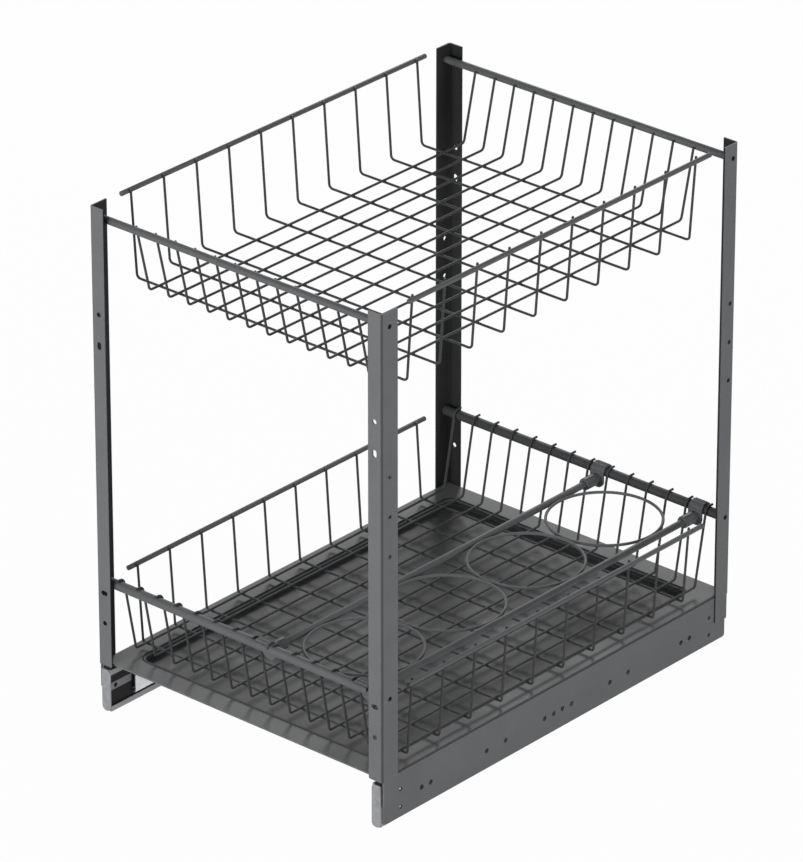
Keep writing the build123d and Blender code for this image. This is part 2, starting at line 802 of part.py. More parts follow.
def stop_strip():
    """Steel strip that holds the bumper, laid in its groove."""
    y_start = outer_front + runner_sheet
    outline = Rectangle(strip_thickness, bumper_window_height, align=(Align.MAX, Align.CENTER))
    outline = Pos(bumper_depth, bumper_window_rise) * outline
    strip = along_runner(outline, y_start, y_start + bumper_window_length)
    x_range = (-skirt_inside, -skirt_inside + bumper_depth + overcut)
    detent_z = runner_middle_height + bumper_window_rise
    return strip - rod_along_x(detent_hole_d, *x_range, outer_front + detent_hole_back, detent_z)


def make_runners():
    outer_flange_reach = runner_depth - runner_sheet - flange_end_gap
    ball_u = (middle_web_u + runner_sheet + outer_flange_reach) / 2
    inner_ball_u = (inner_cage_u + inner_web_face - runner_sheet) / 2
    inner_flange_reach = inner_web_face - runner_sheet - flange_end_gap
    outer_cage, outer_balls = cage_and_balls(outer_cage_u, outer_flange_reach, ball_u, outer_ball_v)
    inner_cage, inner_balls = cage_and_balls(inner_cage_u, inner_flange_reach, inner_ball_u, inner_ball_v)
    save_pair("runner_outer_member", outer_member())
    save_pair("runner_middle_member", middle_member())
    save_pair("runner_inner_member", inner_member())
    save_pair("outer_ball_cage", outer_cage)
    save_pair("outer_balls", outer_balls)
    save_pair("inner_ball_cage", inner_cage)
    save_pair("inner_balls", inner_balls)
    save_pair("runner_bumper", bumper())
    save_pair("runner_stop_strip", stop_strip())
    rivet_x = (-inside_half, -skirt_inside + runner_sheet)
    left_rivets = [rod_along_x(skirt_rivet_d, *rivet_x, y, z) for y, z in skirt_rivet_places()]
    right_rivets = [mirror(rivet, about=Plane.YZ) for rivet in left_rivets]
    save("skirt_rivets", Compound(children=left_rivets + right_rivets))


# Floor rails

def rail_rivet_places():
    """Y and Z of the rivets between the inner members and the floor rails' tabs."""
    places = []
    for side in (-1, 1):
        for step in (-1, 1):
            y = side * floor_rail_spacing / 2 + step * rail_rivet_spacing / 2
            places.append((y, runner_middle_height))
    return places


def floor_rail(y):
    """Strip across the cabinet floor, folded up at both ends into riveting tabs."""
    tab_face = skirt_inside - inner_web_face
    outer_bend = floor_rail_bend_inner + floor_rail_sheet
    y_range = (y - floor_rail_width / 2, y + floor_rail_width / 2)
    rail = block((-tab_face, tab_face), y_range, (0, floor_rail_tab_height))
    rail = fillet(rail.edges().filter_by(Axis.Y).sort_by(Axis.Z)[:2], outer_bend)
    trough_half = tab_face - floor_rail_sheet
    trough = block(
        (-trough_half, trough_half),
        (y_range[0] - overcut, y_range[1] + overcut),
        (floor_rail_sheet, floor_rail_tab_height + overcut),
    )
    rail -= fillet(trough.edges().filter_by(Axis.Y).sort_by(Axis.Z)[:2], floor_rail_bend_inner)
    rail = fillet(rail.edges().filter_by(Axis.X).group_by(Axis.Z)[-1], floor_rail_tab_corner)
    for side in (-1, 1):
        x = side * floor_screw_spacing / 2
        rail -= rod_along_z(floor_screw_hole_d, -overcut, floor_rail_sheet + overcut, x, y)
    hole_d = rail_rivet_d + 2 * rivet_clearance
    for rivet_y, rivet_z in rail_rivet_places():
        if abs(rivet_y - y) < floor_rail_width:
            rail -= rod_along_x(hole_d, -tab_face - overcut, tab_face + overcut, rivet_y, rivet_z)
    return rail


def left_rail_rivet(y, z):
    """Domed rivet through the inner member's web and the rail's tab on the left."""
    web_back = -skirt_inside + inner_web_face - runner_sheet
    tab_back = -skirt_inside + inner_web_face + floor_rail_sheet
    rivet = rod_along_x(rail_rivet_d, web_back, tab_back, y, z)
    rivet += rod_along_x(rail_rivet_head_d, web_back - rail_rivet_head, web_back, y, z)
    rivet += rod_along_x(rail_rivet_head_d, tab_back, tab_back + rail_rivet_head, y, z)
    return rivet


def make_floor_rails():
    save("front_floor_rail", floor_rail(-floor_rail_spacing / 2))
    save("rear_floor_rail", floor_rail(floor_rail_spacing / 2))
    left_rivets = [left_rail_rivet(y, z) for y, z in rail_rivet_places()]
    right_rivets = [mirror(rivet, about=Plane.YZ) for rivet in left_rivets]
    save("rail_rivets", Compound(children=left_rivets + right_rivets))


def main():
    os.makedirs("parts", exist_ok=True)
    make_posts()
    make_base_plate()
    make_drip_tray()
    make_rods()
    make_baskets()
    make_divider()
    make_runners()
    make_floor_rails()
    print(len(written), "sub-parts written")


main()
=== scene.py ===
import json
from math import acos, atan2, cos, pi, radians, sin, sqrt, tan

import bmesh
import bpy
from bpy.props import FloatProperty, FloatVectorProperty, IntProperty, PointerProperty
from mathutils import Matrix, Vector


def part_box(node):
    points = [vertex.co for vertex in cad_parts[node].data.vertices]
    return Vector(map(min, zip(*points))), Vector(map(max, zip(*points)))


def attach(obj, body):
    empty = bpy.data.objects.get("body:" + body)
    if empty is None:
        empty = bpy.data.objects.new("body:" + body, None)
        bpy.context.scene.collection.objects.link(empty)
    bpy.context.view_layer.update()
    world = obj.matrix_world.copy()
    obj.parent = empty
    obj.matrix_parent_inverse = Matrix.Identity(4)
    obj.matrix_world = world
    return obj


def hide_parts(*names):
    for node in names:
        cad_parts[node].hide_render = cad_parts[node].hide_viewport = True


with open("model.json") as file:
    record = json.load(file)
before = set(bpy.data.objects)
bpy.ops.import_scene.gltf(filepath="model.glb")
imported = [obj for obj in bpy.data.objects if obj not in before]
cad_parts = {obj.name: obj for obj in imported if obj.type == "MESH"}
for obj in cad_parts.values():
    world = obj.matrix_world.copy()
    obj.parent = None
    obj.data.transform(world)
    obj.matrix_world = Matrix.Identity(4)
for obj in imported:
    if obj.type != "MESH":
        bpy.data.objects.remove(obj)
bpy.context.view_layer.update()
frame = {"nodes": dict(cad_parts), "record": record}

bl_info = {
    "name": "Pull-out bottle rack",
    "version": (1, 0, 0),
    "blender": (4, 5, 0),
    "location": "3D View > Sidebar > Bottle rack",
    "description": "Models and finishes a pull-out cabinet rack with two wire baskets and a bottle divider",
    "category": "Add Mesh",
}

MM = 0.001

# How finely round shapes are drawn
WIRE_SIDES = 12
BAR_SIDES = 40
RING_SIDES = 16
RING_STEPS = 120
RIVET_SIDES = 24
BEND_STEPS = 6
HOOK_STEPS = 10


def length_property(name, description, default):
    return FloatProperty(name=name, description=description, default=default * MM, unit="LENGTH", min=0.0)


def colour_property(name, description, default):
    return FloatVectorProperty(
        name=name, description=description, default=default, subtype="COLOR", size=3, min=0.0, max=1.0
    )


# Settings

class RACK_PG_sheet(bpy.types.PropertyGroup):
    """Folded sheet parts: posts, base plate, drip tray, runners and floor rails."""
    edge: length_property("Edge round", "Radius of the coated edges of posts and base plate", 0.28)
    steel_edge: length_property("Steel edge round", "Radius of the bare steel edges", 0.16)
    moulded_edge: length_property("Moulded edge round", "Radius of the plastic parts' edges", 0.25)
    tray_sheet: length_property("Tray sheet", "Thickness of the drip tray's sheet", 0.8)
    tray_lip: length_property("Tray lip", "Width of the drip tray's lip", 3.0)
    tray_corner: length_property("Tray corner", "Corner radius of the drip tray's walls", 9.0)
    tray_floor_bend: length_property("Tray floor bend", "Bend radius between its wall and floor", 1.6)
    lip_edge: length_property("Tray lip round", "Radius of the edges of the drip tray's lip", 0.45)
    screw_edge: length_property("Screw edge round", "Radius of the rod screws' edges", 0.15)
    head_edge: length_property("Rivet head round", "Radius of the rail rivets' heads", 0.45)
    rivet: length_property("Skirt rivet", "Diameter of the skirt rivets", 4.5)
    rivet_length: length_property("Skirt rivet length", "Length of the skirt rivets", 2.7)
    balls: IntProperty(name="Balls in a row", description="In each row of a ball cage", default=8, min=2)


class RACK_PG_wires(bpy.types.PropertyGroup):
    """Basket wires, rods, side rails and the rings of the bottle divider."""
    wire: length_property("Wire", "Diameter of the basket wires", 2.5)
    upper_bend: length_property("Upper wire bend", "Centre-line radius of the upper basket's bends", 4.5)
    lower_bend: length_property("Lower wire bend", "Centre-line radius of the lower basket's bends", 3.0)
    upper_inset: length_property("Upper corner inset", "From rod axis to upper floor corner", 22.0)
    lower_inset: length_property("Lower corner inset", "From rod axis to lower floor corner", 21.0)
    upper_taper: length_property("Upper side taper", "How far an upper side leg leans in at the floor", 6.4)
    lower_taper: length_property("Lower side taper", "How far a lower side leg leans in at the floor", 5.8)
    front_tip: length_property("Front tip rise", "From rod axis up to the upper front tips", 1.8)
    rear_tip: length_property("Rear tip rise", "From rod axis up to the upper rear tips", 0.5)
    side_tip: length_property("Side tip rise", "How far the side tips end above the side rail", 0.3)
    tail: length_property("Hook tail", "Straight end of a hook past the top of the rod", 4.5)
    pitch: length_property("Wire pitch", "Pitch of the wires that run front to rear", 25.0)
    width_wires: IntProperty(name="Wires side to side", description="In each basket", default=10, min=2)
    bar_end: length_property("Rod end round", "Radius of the rods' ends", 0.3)
    rail_end: length_property("Rail end round", "Radius of the side rails' ends", 0.4)
    ring_wire: length_property("Ring wire", "Wire diameter of the divider's rings", 3.0)
    nugget: length_property("Weld nugget", "Half width of the weld between two crossing wires", 1.25)


class RACK_PG_colours(bpy.types.PropertyGroup):
    """Colours of the finishes."""
    sheet: colour_property("Coated sheet", "Powder coat on posts and base plate", (0.160, 0.163, 0.167))
    # Painted shade: darker colour for the posts' faces that look into the rack and their flange ends, where
    # shade falls
    inside: colour_property("Posts inside", "Darker coat inside the posts", (0.024, 0.0245, 0.0255))
    # Painted shade: a darker line of colour along the outer bends of posts and base plate, where the light
    # falls off
    fold: colour_property("Folds", "Darker coat on the outer bends of the sheet", (0.070, 0.0715, 0.074))
    # The lower rear rod takes this darker coat as painted shade, as its side faces into the rack
    wire: colour_property("Coated wire", "Powder coat, lower rear rod too", (0.058, 0.0595, 0.062))
    rod: colour_property("Coated rods", "Powder coat, rails and rings too", (0.125, 0.128, 0.132))
    # Painted shade: darker than the plate's coat, for the shade in the sunken pan
    tray: colour_property("Drip tray", "Powder coat on the drip tray", (0.058, 0.0595, 0.062))
    clip: colour_property("Clips", "Moulded plastic of the divider's clips", (0.120, 0.123, 0.127))
    zinc: colour_property("Zinc-plated steel", "Runners, rail rivets and floor rails", (0.27, 0.272, 0.284))
    bright_zinc: colour_property("Bright zinc", "Zinc of the inner members", (0.78, 0.785, 0.80))
    # Painted highlight: a bright dome set toward the upper front of each front rivet's cup, for the glint
    # of light on it
    pip: colour_property("Rivet pips", "Bare zinc in the front skirt rivets' cups", (0.52, 0.523, 0.53))
    strip: colour_property("Stop strips", "Dull steel, skirt rivets too", (0.17, 0.172, 0.178))
    ball: colour_property("Bearing steel", "Balls of the runners", (0.80, 0.80, 0.81))
    stop: colour_property("End stops", "Black plastic in the runners' ends", (0.006, 0.006, 0.0065))
    screw: colour_property("Screws", "Black oxide on the rods' screws", (0.006, 0.006, 0.0065))
    floor: colour_property("Floor", "Floor, as it lights the rack from below", (0.45, 0.45, 0.45))


# Shader maths

class Signal:
    """A node's output; arithmetic on it adds Math nodes to its tree."""

    def __init__(self, nodes, socket):
        self.nodes = nodes
        self.socket = socket

    def maths(self, operation, *values):
        made = self.nodes.node("ShaderNodeMath", {"operation": operation}, dict(enumerate(values)))
        return self.nodes.out(made)

    def __add__(self, other):
        return self.maths("ADD", self, other)

    def __radd__(self, other):
        return self.maths("ADD", other, self)

    def __sub__(self, other):
        return self.maths("SUBTRACT", self, other)

    def __rsub__(self, other):
        return self.maths("SUBTRACT", other, self)

    def __mul__(self, other):
        return self.maths("MULTIPLY", self, other)

    def __rmul__(self, other):
        return self.maths("MULTIPLY", other, self)

    def most(self, other):
        """The larger of two values."""
        return self.maths("MAXIMUM", self, other)

    def between(self, low, high):
        """0 below low, 1 above high, and an even slope from one to the other."""
        made = self.nodes.node(
            "ShaderNodeMapRange", {"clamp": True}, {"Value": self, "From Min": low, "From Max": high}
        )
        return self.nodes.out(made)


class Nodes:
    """The nodes of a material or a world, which start empty."""

    def __init__(self, owner):
        owner.use_nodes = True
        self.tree = owner.node_tree
        self.tree.nodes.clear()

    def node(self, kind, settings=None, sockets=None):
        """Adds a node: its settings first, then the values or links of its sockets."""
        made = self.tree.nodes.new(kind)
        for key, value in (settings or {}).items():
            setattr(made, key, value)
        for key, value in (sockets or {}).items():
            self.feed(self.socket(made.inputs, key), value)
        return made

    def socket(self, group, key):
        if isinstance(key, int):
            return group[key]
        return next(s for s in group if key in (s.identifier, s.name.replace(" ", "_"), s.name))

    def feed(self, socket, value):
        if isinstance(value, Signal):
            self.tree.links.new(value.socket, socket)
        elif hasattr(value, "__len__") and len(value) == 3 and len(socket.default_value) == 4:
            socket.default_value = (*value, 1.0)
        else:
            socket.default_value = value

    def out(self, made, key=0):
        return Signal(self, self.socket(made.outputs, key))

    def seen_directly(self):
        """1 for what the camera, a reflection or a clear piece shows, 0 for what lights the object."""
        path = self.node("ShaderNodeLightPath")
        camera, glossy, through = (
            self.out(path, key) for key in ("Is Camera Ray", "Is Glossy Ray", "Is Transmission Ray")
        )
        return camera.most(glossy).most(through)


class Finish(Nodes):
    """One procedural material around a single surface shader."""

    def __init__(self, name, **shader_values):
        self.material = bpy.data.materials.new(name)
        super().__init__(self.material)
        self.shader = self.node("ShaderNodeBsdfPrincipled", {}, shader_values)
        self.output = self.node("ShaderNodeOutputMaterial", {}, {"Surface": self.out(self.shader)})
        self.output.is_active_output = True
        self.coordinates = self.out(self.node("ShaderNodeTexCoord"), "Object")

    def stretched(self, x, y, z):
        """The object's coordinates, scaled along each axis."""
        values = {"Vector": self.coordinates, "Scale": (x, y, z)}
        return self.out(self.node("ShaderNodeMapping", {}, values))

    def noise(self, scale, detail=2.0, roughness=0.5, coordinates=None):
        """Cloudy noise from 0 to 1; scale is in features per metre."""
        values = {"Scale": scale, "Detail": detail, "Roughness": roughness}
        values["Vector"] = coordinates or self.coordinates
        return self.out(self.node("ShaderNodeTexNoise", {"noise_dimensions": "3D"}, values))

    def cells(self, scale, what="Distance"):
        """Cell pattern: the distance to a cell's middle, or a colour of its own for each cell."""
        values = {"Vector": self.coordinates, "Scale": scale}
        return self.out(self.node("ShaderNodeTexVoronoi", {"feature": "F1"}, values), what)

    def blend(self, factor, first, second):
        """Mix of two colours."""
        values = {"Factor_Float": factor, "A_Color": first, "B_Color": second}
        made = self.node("ShaderNodeMix", {"data_type": "RGBA", "blend_type": "MIX"}, values)
        return self.out(made, "Result_Color")

    def relief(self, height, strength, distance):
        """Bump from a height signal; distance is in metres."""
        values = {"Strength": strength, "Distance": distance, "Height": height}
        return self.out(self.node("ShaderNodeBump", {}, values))

    def shade(self, **values):
        for key, value in values.items():
            self.feed(self.socket(self.shader.inputs, key), value)
        return self.material


def tinted(colour, factor):
    """A colour made lighter or darker by a factor."""
    return tuple(min(1.0, part * factor) for part in colour)


# Specular level of the powder coat, the plastics and the black oxide
COAT_SHEEN = 0.15


def powder_coat(name, colour, gloss=0.0):
    """Satin powder coat: fine orange peel, flecks of other tone, faint rubbing and handling marks."""
    finish = Finish(name, IOR=1.45, Specular_IOR_Level=COAT_SHEEN)
    patches = finish.noise(26.0, 3.0, 0.55)
    peel = finish.noise(620.0, 2.0, 0.5)
    grain = finish.noise(2400.0, 2.0, 0.6)
    flecks = finish.cells(900.0).between(0.16, 0.30)
    rub = finish.noise(70.0, 4.0, 0.65, finish.stretched(0.35, 0.35, 2.2)).between(0.60, 0.76)
    body = finish.blend(patches.between(0.25, 0.75), tinted(colour, 0.93), tinted(colour, 1.07))
    flecked = finish.blend((1.0 - flecks) * 0.35, body, tinted(colour, 1.5))
    worn = finish.blend(rub * 0.16, flecked, tinted(colour, 1.35))
    return finish.shade(
        Base_Color=worn,
        Roughness=0.50 - gloss + patches * 0.10 + grain * 0.06 - rub * 0.08,
        Normal=finish.relief(peel * 0.7 + grain * 0.3, 0.22, 0.00012),
    )


def zinc_plate(name, colour):
    """Zinc-plated rolled steel: streaks along the rolling direction, faint spangle, dull rub marks."""
    finish = Finish(name, IOR=2.5)
    streaks = finish.noise(220.0, 4.0, 0.6, finish.stretched(1.0, 0.035, 1.0))
    fine = finish.noise(1400.0, 3.0, 0.6, finish.stretched(1.0, 0.05, 1.0))
    cloud = finish.noise(45.0, 3.0, 0.6)
    crystals = finish.cells(240.0, "Color")
    spangle = finish.out(finish.node("ShaderNodeSeparateColor", {}, {"Color": crystals}))
    tone = streaks * 0.5 + spangle * 0.25 + cloud * 0.25
    base = finish.blend(tone.between(0.3, 0.7), tinted(colour, 0.84), tinted(colour, 1.12))
    bluish = (colour[0] * 0.96, colour[1], colour[2] * 1.08)
    cool = finish.blend(cloud.between(0.45, 0.8) * 0.3, base, bluish)
    return finish.shade(
        Base_Color=cool,
        Metallic=0.92 - cloud.between(0.5, 0.9) * 0.10,
        Roughness=0.38 + streaks * 0.14 + spangle * 0.05,
        Normal=finish.relief(fine * 0.7 + streaks * 0.3, 0.12, 0.00006),
    )


def bearing_steel(name, colour):
    """Polished ball steel with a trace of grease."""
    finish = Finish(name, IOR=2.5)
    smear = finish.noise(500.0, 3.0, 0.6)
    return finish.shade(
        Base_Color=finish.blend(smear.between(0.4, 0.8) * 0.5, colour, tinted(colour, 0.8)),
        Metallic=1.0,
        Roughness=0.07 + smear * 0.14,
    )


def moulded_plastic(name, colour, roughness):
    """Moulded plastic with a spark-eroded grain, flow clouding and lighter handling marks."""
    finish = Finish(name, IOR=1.5, Specular_IOR_Level=COAT_SHEEN)
    cloud = finish.noise(90.0, 3.0, 0.6)
    grain = finish.noise(2600.0, 3.0, 0.65)
    pits = finish.cells(1700.0).between(0.05, 0.4)
    scuff = finish.noise(300.0, 4.0, 0.7).between(0.62, 0.8)
    base = finish.blend(cloud.between(0.3, 0.7), tinted(colour, 0.92), tinted(colour, 1.08))
    return finish.shade(
        Base_Color=finish.blend(scuff * 0.15, base, tinted(colour, 1.6)),
        Roughness=roughness + grain * 0.08 + cloud * 0.06,
        Normal=finish.relief(grain * 0.6 + pits * 0.4, 0.18, 0.00008),
    )


def oxide_black(name, colour):
    """Black oxide on steel, rubbed through to a duller grey in places."""
    finish = Finish(name, IOR=1.5, Specular_IOR_Level=COAT_SHEEN)
    cloud = finish.noise(600.0, 4.0, 0.6)
    worn = cloud.between(0.6, 0.8)
    return finish.shade(
        Base_Color=finish.blend(worn * 0.4, colour, tinted(colour, 4.0)),
        Metallic=worn * 0.3,
        Roughness=0.48 + cloud * 0.12,
        Normal=finish.relief(cloud, 0.1, 0.00005),
    )


FINISHES = {}


def prepare_finishes(colours):
    """Makes each finish once, under its material slot's name or that of the pieces that have it."""
    FINISHES["anthracite_sheet"] = powder_coat("coated sheet", tuple(colours.sheet))
    # Painted shade inside the posts
    FINISHES["posts inside"] = powder_coat("coated sheet with painted inner shade", tuple(colours.inside))
    # Painted shade: a dark line on the folds
    FINISHES["folds"] = powder_coat("painted fold shade", tuple(colours.fold))
    FINISHES["anthracite_wire"] = powder_coat("coated wire", tuple(colours.wire), 0.03)
    FINISHES["rods"] = powder_coat("coated rod", tuple(colours.rod), 0.03)
    # Painted shade: the tray's darker coat stands for shade in the pan
    FINISHES["drip_tray_enamel"] = powder_coat("drip tray coat with painted pan shade", tuple(colours.tray), 0.03)
    FINISHES["clip_plastic"] = moulded_plastic("clip plastic", tuple(colours.clip), 0.46)
    FINISHES["zinc_steel"] = zinc_plate("zinc-plated steel", tuple(colours.zinc))
    FINISHES["bright zinc"] = zinc_plate("bright zinc-plated steel", tuple(colours.bright_zinc))
    # Painted highlight: the bright pips of the front rivets
    FINISHES["painted pip highlights"] = zinc_plate("painted pip highlight", tuple(colours.pip))
    FINISHES["stop strips"] = zinc_plate("phosphated strip", tuple(colours.strip))
    FINISHES["ball_steel"] = bearing_steel("ball steel", tuple(colours.ball))
    FINISHES["black_plastic"] = moulded_plastic("black plastic", tuple(colours.stop), 0.42)
    FINISHES["black_screw"] = oxide_black("black oxide", tuple(colours.screw))


def finish_for(name):
    if not FINISHES:
        prepare_finishes(bpy.context.scene.rack_colours)
    return FINISHES[name]


# Part of a node's name, and the finish that it has in place of its slot's own
FINER_FINISHES = (
    # Painted shade: the lower rear rod takes the darker wire coat in place of the rods' own
    ("lower_basket_rear_rod", "anthracite_wire"),
    ("_rod", "rods"),
    ("divider_ring", "rods"),
    ("_side_rail", "rods"),
    ("inner_member", "bright zinc"),
    ("strip", "stop strips"),
    ("skirt_rivets", "stop strips"),
)


def finish_name(node):
    """The finish of a node: the finer one of its kind of piece, or else its slot's own."""
    for what, name in FINER_FINISHES:
        if what in node:
            return name
    return NODE_SLOT[node]


# Pieces

NODE_SLOT = {part["node"]: part["material_slot"] for part in frame["record"]["subparts"]}
NODE_BODY = {node: body for body, nodes in frame["record"]["behaviour"]["bodies"].items() for node in nodes}
UP = Vector((0, 0, 1))


def corners_of(geometry):
    """The vertices among what an operator made."""
    return [g for g in geometry if isinstance(g, bmesh.types.BMVert)]


def edges_among(corners):
    """The edges whose two ends are both among the corners."""
    inside = set(corners)
    return list(dict.fromkeys(e for v in corners for e in v.link_edges if inside.issuperset(e.verts)))


def facing(toward, place):
    """Stands a shape drawn about the upright axis at a place, with that axis along a direction."""
    return Matrix.Translation(place) @ toward.to_track_quat("Z", "Y").to_matrix().to_4x4()


def show(name, mesh, node, sharp=30.0, recalculate=True):
    """Turns a bmesh into a finished piece that stands for one CAD node."""
    if recalculate:
        bmesh.ops.recalc_face_normals(mesh, faces=mesh.faces[:])
    data = bpy.data.meshes.new(name)
    mesh.to_mesh(data)
    mesh.free()
    data.polygons.foreach_set("use_smooth", [True] * len(data.polygons))
    data.set_sharp_from_angle(angle=radians(sharp))
    piece = bpy.data.objects.new(name, data)
    bpy.context.scene.collection.objects.link(piece)
    data.materials.append(finish_for(finish_name(node)))
    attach(piece, NODE_BODY[node])
    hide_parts(node)
    return piece


def paint_where(piece, finish, chosen):
    """Gives a finish to the faces whose normals are chosen."""
    piece.data.materials.append(finish_for(finish))
    for face in piece.data.polygons:
        if chosen(face.normal):
            face.material_index = len(piece.data.materials) - 1


def eased_copy(node, edge, segments=2):
    """A copy of a CAD node with its triangles joined into flat faces and its sharp edges rounded."""
    mesh = bmesh.new()
    mesh.from_mesh(frame["nodes"][node].data)
    bmesh.ops.remove_doubles(mesh, verts=mesh.verts[:], dist=0.002 * MM)
    bmesh.ops.dissolve_limit(mesh, angle_limit=radians(0.6), verts=mesh.verts[:], edges=mesh.edges[:])
    piece = show(node + "_made", mesh, node, recalculate=False)
    if edge > 0:
        ease = piece.modifiers.new("eased edges", "BEVEL")
        ease.width = edge
        ease.segments = segments
        ease.limit_method = "ANGLE"
        ease.angle_limit = radians(32)
        ease.harden_normals = True
    return piece


class WireEnd:
    """The open end of a round wire while it is drawn: it runs straight on, or bends about an axis."""

    def __init__(self, mesh, start, toward, radius):
        self.mesh = mesh
        self.place = Vector(start)
        self.toward = Vector(toward).normalized()
        self.radius = radius
        made = bmesh.ops.create_circle(
            mesh, segments=WIRE_SIDES, radius=radius, matrix=facing(self.toward, self.place)
        )
        self.ring = made["verts"]
        self.close(-self.toward)

    def run(self, length):
        made = bmesh.ops.extrude_edge_only(self.mesh, edges=edges_among(self.ring))
        self.ring = corners_of(made["geom"])
        bmesh.ops.translate(self.mesh, verts=self.ring, vec=self.toward * length)
        self.place = self.place + self.toward * length

    def bend(self, axis, angle, bend_radius, steps):
        """Turns by the angle about the axis; the bend's centre lies beside the wire."""
        axis = Vector(axis).normalized()
        beside = axis.cross(self.toward)
        centre = self.place + beside * bend_radius
        made = bmesh.ops.spin(
            self.mesh, geom=list(self.ring) + edges_among(self.ring), cent=centre, axis=axis, angle=angle,
            steps=steps, use_merge=False, use_duplicate=False,
        )
        self.ring = corners_of(made["geom_last"])
        turn = Matrix.Rotation(angle, 3, axis)
        self.place = centre + turn @ (self.place - centre)
        self.toward = turn @ self.toward

    def close(self, outward):
        """Domes the end: a narrower ring a little further on, filled with a face."""
        far = bmesh.ops.extrude_edge_only(self.mesh, edges=edges_among(self.ring))
        rim = corners_of(far["geom"])
        bmesh.ops.scale(self.mesh, verts=rim, vec=(0.8, 0.8, 0.8), space=Matrix.Translation(-self.place))
        bmesh.ops.contextual_create(self.mesh, geom=edges_among(rim))
        step = outward * self.radius * 0.2
        bmesh.ops.translate(self.mesh, verts=self.ring, vec=-step)
        if outward.dot(self.toward) < 0:
            self.place = self.place - step

    def finish(self):
        self.close(self.toward)


def draw_through(mesh, points, bend_radius, radius):
    """Wire through the points, bent at each one between the ends."""
    points = [Vector(p) for p in points]
    toward = [(b - a).normalized() for a, b in zip(points, points[1:])]
    end = WireEnd(mesh, points[0], toward[0], radius)
    for point, before, after in zip(points[1:], toward, toward[1:]):
        angle = before.angle(after)
        setback = bend_radius * tan(angle / 2)
        end.run((point - end.place).length - setback)
        end.bend(before.cross(after), angle, bend_radius, BEND_STEPS)
    end.run((points[-1] - end.place).length)
    end.finish()


def box_middle(node):
    low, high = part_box(node)
    return (low + high) / 2


def box_size(node):
    low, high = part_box(node)
    return high - low


def even_places(low, high, count):
    return [low + (high - low) * n / (count - 1) for n in range(count)]


def repeat_along(mesh, axis, places):
    """Copies everything in the mesh, drawn at zero, to each place along an axis."""
    first = mesh.verts[:] + mesh.edges[:] + mesh.faces[:]
    for place in places[1:]:
        made = bmesh.ops.duplicate(mesh, geom=first)
        bmesh.ops.translate(mesh, verts=corners_of(made["geom"]), vec=axis * place)
    bmesh.ops.translate(mesh, verts=corners_of(first), vec=axis * places[0])


def wire_rows(basket, wires):
    """Places of a basket's wires: across the rack, and along it."""
    half = wires.wire / 2
    low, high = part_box(basket + "_depth_wires")
    gaps = round((high.x - low.x - wires.wire) / wires.pitch)
    across = even_places(low.x + half, high.x - half, gaps + 1)
    low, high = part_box(basket + "_width_wires")
    along = even_places(low.y + half, high.y - half, wires.width_wires)
    return across, along


def upper_depth_wires(wires):
    """U-shaped wires welded to the inner side of the upper rods."""
    front, rear = box_middle("upper_basket_front_rod"), box_middle("upper_basket_rear_rod")
    reach = box_size("upper_basket_front_rod").z / 2 + wires.wire / 2
    floor_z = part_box("upper_basket_depth_wires")[0].z + wires.wire / 2
    mesh = bmesh.new()
    points = [
        (0, front.y + reach, front.z + wires.front_tip),
        (0, front.y + wires.upper_inset, floor_z),
        (0, rear.y - wires.upper_inset, floor_z),
        (0, rear.y - reach, rear.z + wires.rear_tip),
    ]
    draw_through(mesh, points, wires.upper_bend, wires.wire / 2)
    return mesh


def lower_depth_wires(wires):
    """U-shaped wires that hook over the thick lower rods."""
    front, rear = box_middle("lower_basket_front_rod"), box_middle("lower_basket_rear_rod")
    reach = box_size("lower_basket_front_rod").z / 2 + wires.wire / 2
    floor_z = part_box("lower_basket_depth_wires")[0].z + wires.wire / 2
    fall = front.z - floor_z
    to_corner = sqrt(wires.lower_inset * wires.lower_inset + fall * fall)
    leave = atan2(wires.lower_inset, fall) - (pi / 2 - acos(reach / to_corner))
    mesh = bmesh.new()
    end = WireEnd(mesh, (0, front.y - wires.tail, front.z + reach), (0, 1, 0), wires.wire / 2)
    end.run((Vector((0, front.y, front.z + reach)) - end.place).length)
    end.bend((-1, 0, 0), pi / 2 - leave, reach, HOOK_STEPS)
    lean = end.toward.angle(Vector((0, 1, 0)))
    setback = wires.lower_bend * tan(lean / 2)
    corner = Vector((0, front.y + wires.lower_inset, floor_z))
    far_corner = Vector((0, rear.y - wires.lower_inset, floor_z))
    end.run((corner - end.place).length - setback)
    end.bend((1, 0, 0), lean, wires.lower_bend, BEND_STEPS)
    end.run((far_corner - corner).length - 2 * setback)
    end.bend((1, 0, 0), lean, wires.lower_bend, BEND_STEPS)
    foot = Vector((0, rear.y - reach * cos(leave), rear.z + reach * sin(leave)))
    end.run((foot - end.place).length)
    end.bend((-1, 0, 0), pi / 2 - leave, reach, HOOK_STEPS)
    end.run(wires.tail)
    end.finish()
    return mesh


def width_wires(basket, taper, bend, wires):
    """U-shaped wires welded to the inner side of a basket's side rails."""
    rail = box_middle(basket + "_side_rail_right")
    rail_radius = box_size(basket + "_side_rail_right").z / 2
    leg_x = rail.x - rail_radius - wires.wire / 2
    floor_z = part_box(basket + "_width_wires")[0].z + wires.wire / 2
    tip_z = rail.z + rail_radius + wires.side_tip
    mesh = bmesh.new()
    foot_x = leg_x - taper
    points = [(-leg_x, 0, tip_z), (-foot_x, 0, floor_z), (foot_x, 0, floor_z), (leg_x, 0, tip_z)]
    draw_through(mesh, points, bend, wires.wire / 2)
    return mesh


def add_nuggets(mesh, places, size):
    """Small welds squeezed out between touching wires."""
    for place, squash in places:
        shape = Matrix.Translation(place) @ Matrix.Diagonal((*[size * s for s in squash], 1.0))
        bmesh.ops.create_uvsphere(mesh, u_segments=8, v_segments=4, radius=1.0, matrix=shape)


